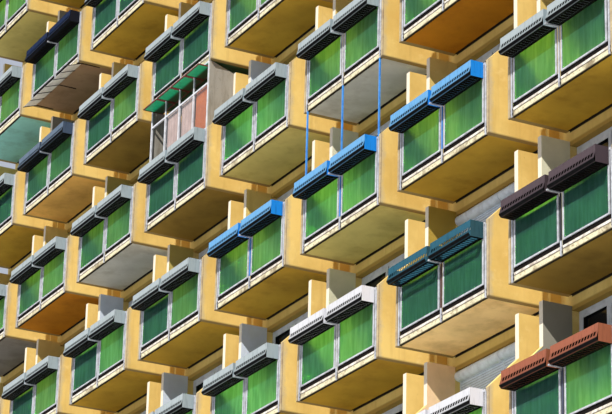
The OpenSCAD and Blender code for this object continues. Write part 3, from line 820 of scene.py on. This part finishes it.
# %% Window paint and places
frame_paint = Finish("window_frame_paint", 0.5)
dirt = frame_paint.noise(6.0, 6, 0.65)
frame_paint.colour(frame_paint.mix(frame_paint.band(dirt, 0.45, 0.75, 0.0, 0.6), frame_paint.own_paint(),
                                   (0.45, 0.44, 0.42), "MULTIPLY"))
frame_paint.rough(frame_paint.band(dirt, 0.3, 0.7, 0.4, 0.6))
WHITE_FRAME, BROWN_FRAME = srgb(206, 210, 216), srgb(92, 58, 42)
brown_frames = ((4, 4), (1, 5))
for door_side, name in ((1, "right_door_windows"), (-1, "left_door_windows")):
    window_places = [(i, k) for i, k in all_places if (i * 3 + k) % 2 == (door_side > 0)]
    window_shape = balcony_window(door_side)
    window_tones = [BROWN_FRAME if place in brown_frames else WHITE_FRAME for place in window_places]
    windows = put_mesh(name, *at_places(*window_shape, window_places), frame_paint.material,
                       per_place(window_tones, len(window_shape[0])))

# %% [markdown]
# ## Painted posts
# A few flats have painted the middle post of their railing. All posts are one measured piece with one finish, so a
# second paint could only come from a mask. A thin sleeve around the post, half a millimetre proud, is what a coat of
# paint is, and it carries its colour as the windows do.

# %% Painted posts
BLUE_POST = srgb(60, 120, 190)
post_paints = {(4, 6): BLUE_POST, (5, 6): BLUE_POST, (6, 6): BLUE_POST,
               (6, 5): srgb(84, 58, 48), (7, 5): srgb(34, 34, 38), (7, 4): srgb(60, 66, 84)}
sleeve = bar((-0.0185, 0.0185), (-0.001, 0.0195), (0.245, 1.014))
painted_posts = put_mesh("painted_posts", *at_places(*sleeve, list(post_paints)), frame_paint.material,
                         per_place(list(post_paints.values()), len(sleeve[0])))

# %% [markdown]
# ## Frames of the other windows
# The lowest storey and the rear have plain windows with one or two posts. The rear ones differ in height, and scaling
# a frame would thicken its bars. So one frame a metre high is drawn, and only its upper half is moved up.

# %% Frames of the lowest storey and the rear
entrance_bays = (2, 5)
wide_y = (1.215, 1.262)
wide_frame = join(ring((-INSIDE, INSIDE), wide_y, (1.201, 2.599), 0.070),
                  *[rail(xs, wide_y, (1.271, 2.529)) for xs in ((-0.50, -0.43), (0.43, 0.50))])
wide_frames = [(wide_frame[0] + (bay_x(i), FRONT, 0.0), wide_frame[1]) for i in range(BAYS) if i not in entrance_bays]
rear_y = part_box("rear_window_glass")[1].y
rear_frame = join(ring((-0.799, 0.799), (-0.001, 0.035), (0.0, 1.0), 0.06),
                  rail((-0.035, 0.035), (-0.001, 0.035), (0.06, 0.94)))


def tall_frame(shape, low_z, high_z):
    """Lifts the lower half of a frame a metre high to start at low_z, and the upper half to end at high_z."""
    points = shape[0].copy()
    points[:, 2] += np.where(points[:, 2] < 0.5, low_z, high_z - 1)
    return points, shape[1]


LOWEST_SPAN, SILL, HEAD = (1.2, 2.6), 0.9, 0.26  # sill above the floor, and head below the next underside
rear_spans = [LOWEST_SPAN] + [(float(soffit_z(k)) + SLAB + SILL, float(soffit_z(k + 1)) - HEAD)
                              for k in range(1, STOREYS + 1)]
rear_frames = []
for low_z, high_z in rear_spans:
    points, faces = tall_frame(rear_frame, low_z, high_z)
    rear_frames += [(points + (float(bay_x(i)), rear_y, 0), faces) for i in range(BAYS)]
plain_frames = put_mesh("plain_window_frames", *join(*wide_frames, *rear_frames), frame_paint.material,
                        np.array([WHITE_FRAME]))

# %% [markdown]
# ## Roller shutters
# Two windows have a pair of roller shutters. Each is a curtain of narrow slats that hook into each other, so its face
# is ribbed every 45 mm, and it runs in slim guides below a sheet metal box. Fifty real slats would cost many faces for
# ribs that are a pixel high. A wave by height gives each slat its rounded face and its dark joint.

# %% Slats, boxes and guides
SLAT, HALF_TURN = 0.045, 3.1416
slats = Finish("shutter_slats", 0.5)
up_slat = slats.math("FRACT", slats.math("DIVIDE", slats.axis("Z"), SLAT))
slat_tone = slats.mix(slats.patches(5.0, 5, 0.6, 0.4, 0.7), srgb(226, 238, 250), srgb(204, 216, 232))
slats.colour(slats.mix(slats.band(up_slat, 0.10, 0.22), srgb(140, 144, 150), slat_tone))
slats.bump(slats.math("SINE", slats.times(up_slat, HALF_TURN)), 0.004, 0.9)
shutter_box = worn_metal("shutter_box_paint", srgb(232, 242, 252), srgb(208, 216, 226), (0.76, 0.84))
paint_pieces(slats, "roller_shutters")
paint_pieces(shutter_box, "shutter_boxes")
guides = join(*[rail((x - 0.016, x + 0.016), (1.188, 1.224), (SLAB + 0.002, 2.362)) for x in (-1.374, 0.0, 1.374)])
shutter_guides = put_mesh("shutter_guides", *at_places(*guides, [(6, 5), (6, 4)]), shutter_box.material)

# %% [markdown]
# ## The glazed balcony
# One flat has closed its balcony above the rail with a white frame of two rows. The lower row has clear panes, and one
# field is open. In the upper row four vents in dark red frames stand open as bright green flaps, whose inner halves are
# painted darker green as painted shade. The frame, panes and vents are measured pieces, so what they need is paint. It
# is laid on as on the other metal, in their own colours, so that they weather like the rest of the front.

# %% Frame, vents and clear panes
glazing_paint = worn_metal("glazing_paint", srgb(206, 208, 212), srgb(170, 172, 176), (0.76, 0.82))
vent_paint = worn_metal("vent_frame_paint", srgb(104, 40, 34), srgb(78, 34, 28), (0.74, 0.80))
paint_pieces(glazing_paint, "glazing_frame")
paint_pieces(vent_paint, "vent_frames")
clear = Finish("clear_glass", 0.05)
smears = clear.noise(3.0, 5, 0.65)
clear.colour(clear.mix(smears, srgb(112, 122, 132), srgb(130, 140, 148)))
clear.rough(clear.band(smears, 0.3, 0.7, 0.03, 0.12))
clear.shader.inputs["Alpha"].default_value = 0.12
paint_pieces(clear, "glazing_panes")
flap = Finish("bright_green_flap", 0.35)
flap_tone = flap.mix(flap.patches(9.0, 4, 0.6, 0.4, 0.7), srgb(24, 186, 128), srgb(20, 164, 110))
# painted shade: the inner half of each flap, behind the front plane, is dark green
flap.colour(flap.mix(flap.band(behind_front(flap), -0.01, 0.05), flap_tone, srgb(24, 58, 32)))
paint_pieces(flap, "vent_panes")

# %% [markdown]
# ## Side panels and stays of the glazed balcony
# Weathered grey boards close the balcony's sides, and two thin stays hold each open vent. The boards' grain runs up
# and down, so their noise is drawn out along the height. The stays are too thin for the measured model and are new
# bars, placed by the pitch of the vents.

# %% Side panels and vent stays
board = Finish("grey_board", 0.9)
weather = board.noise(1.0, 6, 0.7, stretch=(6.0, 6.0, 1.0))
board_tone = board.mix(board.band(weather, 0.4, 0.7), srgb(152, 148, 138), srgb(118, 110, 96))
board.colour(board.mix(board.patches(13.0, 6, 0.7, 0.6, 0.7, 0.7), board_tone, srgb(84, 76, 62)))
board.bump(weather, 0.003, 0.6)
paint_pieces(board, "glazing_side_panels")
glazed_place = np.array([float(bay_x(3)), FRONT, float(soffit_z(7))])
VENTS, VENT_PITCH, VENT_WIDE = 4, 0.687, 0.651
STAY_IN, STAY_Z = 0.012, (2.340, 2.672)  # how far a stay is in from a vent's side, and its lower and upper end
vent_left = [-1.356 + VENT_PITCH * n for n in range(VENTS)]
stay_x = [x for left in vent_left for x in (left + STAY_IN, left + VENT_WIDE - STAY_IN)]
stays = join(*[bar((x - 0.004, x + 0.004), (0.016, 0.024), STAY_Z, 0.001) for x in stay_x])
vent_stays = put_mesh("vent_stays", stays[0] + glazed_place, stays[1], dark_metal.material)

# %% [markdown]
# ## Curtains and a blind
# Behind the clear panes hang two curtains in soft folds and a blind that is nearly flat. A cloth simulation would drop
# them well, but these are small, seen through glass and hang straight from a rail. A sine wave that grows towards the
# hem gives the same folds at once, and always the same ones. Their flat size is the length of the wave.

# %% A hung cloth and its flat size
def hung(x0, x1, top, low, depth, folds, swing):
    """A cloth that hangs from top to low. Its depth is a sine wave along X that starts flat at the top and swings
    wider towards the hem, and each fold leans a little by a second, slower wave."""
    vv, uu = np.meshgrid(np.linspace(0, 1, 15), np.linspace(0, 1, 24 * folds + 1), indexing="ij")
    wave = np.sin(2 * np.pi * folds * uu + 0.8 * np.sin(3.0 * vv + 5.0 * uu))
    y = depth + swing * (0.15 + 0.85 * vv ** 0.6) * wave
    return np.stack([x0 + (x1 - x0) * uu, y, top + (low - top) * vv + 0.004 * np.sin(7 * uu) * vv], -1)


def cut_size(points):
    """Mean length along the rows and along the columns of a grid of points, which is the flat size of the cloth."""
    along = np.linalg.norm(np.diff(points, axis=1), axis=2).sum(1).mean()
    down = np.linalg.norm(np.diff(points, axis=0), axis=2).sum(0).mean()
    return float(along), float(down)


print("a metre of flat cloth measures", cut_size(hung(0, 1, 1, 0, 0, 1, 0))[0])

# %% [markdown]
# ## Woven cloth
# Close up, the cloths show threads that cross. A picture of a weave would need the cloth to be unrolled first. Two
# sine waves, one along each way of the threads and multiplied, give the same small bumps anywhere on it.

# %% Cloth finish and sheets
def cloth_finish(name, light, dark, weave=700.0):
    """Two tones in soft clouds, with a fine weave as bump and a high roughness."""
    cloth = Finish(name, 0.95)
    cloth.colour(cloth.mix(cloth.patches(5.0, 5, 0.6, 0.35, 0.7), light, dark))
    return cloth.bump(cloth.times(cloth.waves("Z", weave), cloth.waves("X", weave)), 0.0006, 0.6)


def put_cloth(name, points, finish):
    """Makes a sheet from a grid of points, gives it 1.5 mm of thickness to both sides, and prints its flat size."""
    sheet = put_mesh(name, points, [grid(*points.shape[:2])], finish.material, smooth=True)
    thickness = sheet.modifiers.new("cloth", "SOLIDIFY")
    thickness.thickness, thickness.offset = 0.0015, 0.0
    print(name, "was cut to", [round(v, 3) for v in cut_size(points)])
    return sheet


print("cloth helpers ready")

# %% [markdown]
# ## Hanging the cloths
# Two curtains in a dull pink fill two fields of the lower row, and an orange blind fills a third. Each could get a
# rail and hooks, but the frame hides those. So each simply starts at the frame's middle rail and hangs free behind the
# handrail, and the blind differs only in its few shallow folds and its coarser weave.

# %% Curtains and blind of the glazed balcony
RAIL_Z, HEM_Z, CLOTH_Y = 2.328, 1.32, 0.058
curtain_cloth = cloth_finish("curtain_cloth", srgb(194, 168, 158), srgb(172, 146, 136))
blind_cloth = cloth_finish("blind_cloth", srgb(190, 100, 34), srgb(166, 82, 28), 260.0)
for name, x0, x1, folds, swing, cloth in (("left_curtain", -0.66, 0.00, 5, 0.010, curtain_cloth),
                                          ("right_curtain", 0.03, 0.68, 5, 0.010, curtain_cloth),
                                          ("window_blind", 0.715, 1.345, 2, 0.004, blind_cloth)):
    put_cloth(name, hung(x0, x1, RAIL_Z, HEM_Z, CLOTH_Y, folds, swing) + glazed_place, cloth)

# %% [markdown]
# ## The sunshade
# Below one slab a strip of pale canvas leans out over seven thin ribs and sags a little between them, a bit more
# towards its free outer edge. A flat plate over the ribs would look like sheet metal. The sag is a squared sine from
# rib to rib, which is flat where the canvas lies on a rib, as a stretched cloth is.

# %% Canvas over the ribs
RIB_GAPS, HALF_WIDE = 6, 1.385
IN_AT_TOP, OUT, DOWN = 0.113, 0.326, 0.1225  # depth of the upper edge, and how far the slope goes out and down
sunshade_place = [float(bay_x(1)), FRONT, float(soffit_z(9))]
vv, uu = np.meshgrid(np.linspace(0, 1, 17), np.linspace(0, 1, 121), indexing="ij")
between_ribs = np.sin(np.pi * RIB_GAPS * uu) ** 2
sag = 0.011 * between_ribs * np.sin(np.pi * (0.12 + 0.80 * vv)) + 0.003 * between_ribs * vv
canvas = np.stack([HALF_WIDE * (2 * uu - 1), IN_AT_TOP - OUT * vv, -0.0018 - DOWN * vv - sag], -1) + sunshade_place
canvas_cloth = cloth_finish("canvas_cloth", srgb(240, 238, 230), srgb(206, 202, 192), 500.0)
sunshade = put_cloth("sunshade_cloth", canvas, canvas_cloth)
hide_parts("sunshade_canvas")
paint_pieces(dark_metal, "sunshade_ribs")

# %% [markdown]
# ## Floors, roof and copings
# The floors and the lowest slab are plain grey concrete with pores. The roof is dark felt in laps a metre wide, and
# the copings are folded metal sheet. The photograph shows none of them, so each could be one flat colour. Slow clouds
# and a fine grain cost little, though, and keep the roof from looking like card.

# %% Concrete, felt and sheet metal
concrete = Finish("grey_concrete", 0.92)
pores = concrete.noise(30.0, 6, 0.7)
concrete_tone = concrete.mix(concrete.patches(0.7, 5, 0.6, 0.35, 0.7), srgb(176, 172, 164), srgb(146, 142, 134))
concrete.colour(concrete.mix(concrete.band(pores, 0.6, 0.7, 0.0, 0.5), concrete_tone, srgb(110, 106, 100)))
concrete.bump(pores, 0.002, 0.5)
paint_pieces(concrete, "ground_slab", "floor_slabs")
felt = Finish("roof_felt", 0.95)
felt_tone = felt.mix(felt.patches(1.2, 5, 0.6, 0.3, 0.7), srgb(92, 92, 92), srgb(66, 66, 68))
lap_edge = felt.under(felt.math("FRACT", felt.axis("X")), 0.0, 0.04)
felt.colour(felt.mix(lap_edge, felt_tone, srgb(44, 44, 46))).bump(felt.noise(220.0, 2, 0.6), 0.002, 0.8)
paint_pieces(felt, "roof_slab")
coping = Finish("coping_metal", 0.38, 0.9)
coping.colour(coping.mix(coping.patches(3.0, 5, 0.6, 0.4, 0.7), srgb(188, 190, 192), srgb(150, 152, 154)))
paint_pieces(coping, "long_copings", "end_copings")

# %% [markdown]
# ## The planters' folded sheet
# Each balcony has two troughs of folded sheet steel on the outside of the handrail. Seen from the side the sheet goes
# down the back, forward along the floor, out and up along a short lip, and then up the front, which leans back over a
# flared band before it stands upright. The flared band and the floor are punched with rows of holes.
#
# Holes can be cut with a Boolean, but 30 in each of 160 troughs would be slow and leave ragged faces. Here the outline
# is carried along X, the rows of it that have holes are split into columns, and the columns that fall on a hole are
# left out. A Solidify modifier then gives the sheet its thickness.

# %% Outline and columns of a trough
GAP, END = 0.054, 1.34  # where a trough starts and ends, counted from the middle of the bay
LONG = END - GAP
TROUGH_STARTS = (-END, GAP)
BAND_FOOT, BAND_RISE = 0.043, 0.122  # height at which the flared band starts, and its height
HOLES, HOLE_PITCH, HALF_HOLE = 15, 0.080, 0.028


def flare_y(z):
    """Depth of the flared band at a height: it leans from 277 mm out at its foot to 240 mm at its top."""
    return -0.277 + 0.037 * (z - BAND_FOOT) / BAND_RISE


# down the back, along the floor, out to the lip's top, up the flared band and the upright face, and in at the hem
outline = np.array([(0, 0.283), (0, 0), (-0.06, 0), (-0.19, 0), (-0.24, 0), (-0.277, BAND_FOOT),
                    (flare_y(0.094), 0.094), (flare_y(0.162), 0.162), (-0.24, 0.165), (-0.24, 0.283),
                    (-0.222, 0.283), (-0.222, 0.272)])
cut_line = np.array([0, 0, 1, 1, 0, 0, 1, 1, 0, 0, 0, 0], bool)
middles = LONG / 2 + (np.arange(HOLES) - HOLES // 2) * HOLE_PITCH
columns = np.concatenate([[0.0], np.stack([middles - HALF_HOLE, middles + HALF_HOLE], 1).ravel(), [LONG]])
print("holes in one trough:", 2 * len(middles), "and its length", round(LONG, 3))

# %% [markdown]
# ## Punching the sheet
# A row of the outline lies between two lines along X. If holes touch both lines, the row is cut into 31 columns, and
# every second one is a hole. A row without holes needs no cuts. Keeping it as one long face, even where it meets a cut
# line, keeps a trough down to a few dozen faces, which matters when it is repeated 160 times.

# %% The punched sheet
def punched_sheet(x0):
    """Points of the outline at every column where a row of holes touches it, and at both ends elsewhere. A row
    between two such lines becomes 31 columns less 15 holes, and any other row becomes one long face."""
    xs = [columns if cut else columns[[0, -1]] for cut in cut_line]
    start = np.concatenate([[0], np.cumsum([len(x) for x in xs])])
    points = np.concatenate([np.stack([x + x0, np.full(len(x), y), np.full(len(x), z)], 1)
                             for x, (y, z) in zip(xs, outline)])
    faces = []
    for row in range(len(outline) - 1):
        here, there = np.arange(start[row], start[row + 1]), np.arange(start[row + 1], start[row + 2])
        if cut_line[row] and cut_line[row + 1]:
            solid = np.arange(0, len(columns) - 1, 2)
            faces.append(np.stack([here[solid], here[solid + 1], there[solid + 1], there[solid]], 1))
        else:
            faces.append(np.concatenate([here, there[::-1]])[None])
    return points, faces


sheets = join(*[punched_sheet(x0) for x0 in TROUGH_STARTS])
print("two sheets have", len(sheets[0]), "points")

# %% [markdown]
# ## End plates and liners
# Flat plates close the ends of each trough, and a dark liner stands inside it, so that the holes look black. The liner
# could be left out and the inside painted black, but the sun shines through the holes, and then light would show
# behind them.

# %% End plates and liners
PLATE, LINER_IN = 0.004, 0.02  # thickness of an end plate, and how far a liner stays in from the ends


def end_plate(x0):
    """A flat plate 4 mm thick with eased edges that closes one end of a trough."""
    return bar((x0, x0 + PLATE), (-0.2395, -0.0005), (0.0005, 0.2825), 0.001)


def liner(x0):
    """A block 20 mm short of the trough's ends and clear of its sheet."""
    return bar((x0 + LINER_IN, x0 + LONG - LINER_IN), (-0.214, -0.012), (0.012, 0.225), 0.006)


end_plates = join(*[end_plate(x) for x0 in TROUGH_STARTS for x in (x0, x0 + LONG - PLATE)])
liners = join(*[liner(x0) for x0 in TROUGH_STARTS])
print("plates and liners:", len(end_plates[0]) + len(liners[0]), "points")

# %% [markdown]
# ## Paint, dirt and painted shade of the planters
# The paint is clean on the upright face. The flared band is darker, as painted shade. The lip and the underside of
# the trough are almost black, partly with soot and dirt and partly as painted shade, apart from a paler line along the
# floor's front edge. Eight paints could be eight materials, but the dirt and painted shade are the same on all. So the
# paint is an attribute here too, and the dirt and painted shade follow the height above the trough's floor.

# %% Planter paint
TROUGH_FLOOR = 1.015  # above the underside of the slab
tin = Finish("planter_paint", 0.6, gloss=0.05)
depth, height = behind_front(tin), tin.math("SUBTRACT", above_underside(tin), TROUGH_FLOOR)
wear = tin.noise(11.0, 6, 0.7)
rain_runs = tin.patches(1.0, 5, 0.65, 0.52, 0.76, 0.5, stretch=(26.0, 26.0, 3.0))
coat = tin.mix(rain_runs, tin.own_paint(), srgb(110, 112, 110), "MULTIPLY")
coat = tin.mix(tin.band(wear, 0.67, 0.74, 0.0, 0.8), coat, srgb(110, 72, 50))
flared_part = tin.under(depth, -0.2402, -0.2398)
# painted shade: the flared band is darkened
dull = tin.times(flared_part, tin.under(height, 0.158, 0.176, 0.42))
coat = tin.mix(dull, coat, srgb(150, 150, 148), "MULTIPLY")
# almost black on the lip and the floor: partly soot and dirt, partly painted shade
lip_dirt_and_shade = tin.times(tin.under(height, 0.052, 0.066), tin.band(height, 0.0005, 0.004))
black_dirt_and_shade = tin.math("MAXIMUM", tin.times(lip_dirt_and_shade, flared_part), tin.under(height, 0.0002, 0.0004))
coat = tin.mix(black_dirt_and_shade, coat, srgb(8, 8, 9))
# a paler line along the floor's front edge keeps the trough's own paint
pale_floor_edge = tin.times(tin.near(depth, -0.243, 0.005, 0.009, 0.8), tin.under(height, 0.008, 0.014, 0.35))
tin.colour(tin.mix(pale_floor_edge, coat, tin.own_paint())).rough(tin.band(wear, 0.3, 0.7, 0.4, 0.7)).bump(wear, 0.001, 0.3)
print("planter paint made")

# %% [markdown]
# ## Putting the planters up
# Most troughs are plain grey, and a few flats have painted theirs. The end plates face another way, and each paint
# has two tones: one for the sheet and one for its ends. Every paint's troughs are one piece, because in the measured
# model they are one node, and the piece takes over from that node.

# %% Paints and the balconies that have them
trough_paints = {
    "sky_blue": (srgb(96, 148, 190), srgb(30, 128, 214), ((4, 6), (5, 6), (6, 6))),
    "teal": (srgb(40, 82, 98), srgb(46, 78, 88), ((6, 5), (7, 7))),
    "white": (srgb(192, 192, 195), srgb(214, 214, 220), ((5, 5), (6, 4))),
    "brown": (srgb(75, 64, 68), srgb(64, 54, 58), ((7, 5),)),
    "terracotta": (srgb(140, 84, 64), srgb(138, 82, 58), ((7, 4),)),
    "dark_blue": (srgb(20, 34, 62), srgb(24, 26, 34), ((1, 9),)),
    "blue_grey": (srgb(88, 102, 118), srgb(62, 76, 96), ((1, 8),)),
}
painted_places = {place for _, _, places in trough_paints.values() for place in places}
grey_places = tuple(place for place in all_places if place not in painted_places)
trough_paints["grey"] = (srgb(151, 160, 162), srgb(148, 162, 168), grey_places)
print({name: len(places) for name, (_, _, places) in trough_paints.items()})

# %% [markdown]
# ## Thickness and ends
# The sheet is drawn as a surface with no thickness. It could be drawn twice, inside and outside, and closed along
# every hole. A Solidify modifier does that by itself and closes the rims of the holes as well.

# %% Troughs and end plates
lift = np.array([0, 0, TROUGH_FLOOR])
for name, (sheet_tone, end_tone, places) in trough_paints.items():
    trough = put_mesh(f"{name}_troughs", *at_places(sheets[0] + lift, sheets[1], places), tin.material,
                      np.array([sheet_tone]))
    sheet_metal = trough.modifiers.new("sheet", "SOLIDIFY")
    sheet_metal.thickness, sheet_metal.offset = 0.003, -1.0
    ends = put_mesh(f"{name}_end_plates", *at_places(end_plates[0] + lift, end_plates[1], places), tin.material,
                    np.array([end_tone]))
    for piece in (trough, ends):
        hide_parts(f"planters_{name}")

# %% [markdown]
# ## Liners
# A liner shows as darkness behind the holes, and from above as a dark filling. A box with an inside would show nothing
# more, so it is an eased block with a nearly black, mottled finish. One teal pair has no liner, and lets the light
# through its holes as the real one does.

# %% Dark liners in the troughs
liner_paint = Finish("planter_liner", 0.9, gloss=0.02)
liner_paint.colour(liner_paint.mix(liner_paint.noise(20.0, 4, 0.6), srgb(12, 11, 10), srgb(30, 26, 22)))
lined = [place for place in all_places if place != (6, 5)]
planter_liners = put_mesh("planter_liners", *at_places(liners[0] + lift, liners[1], lined), liner_paint.material)

# %% [markdown]
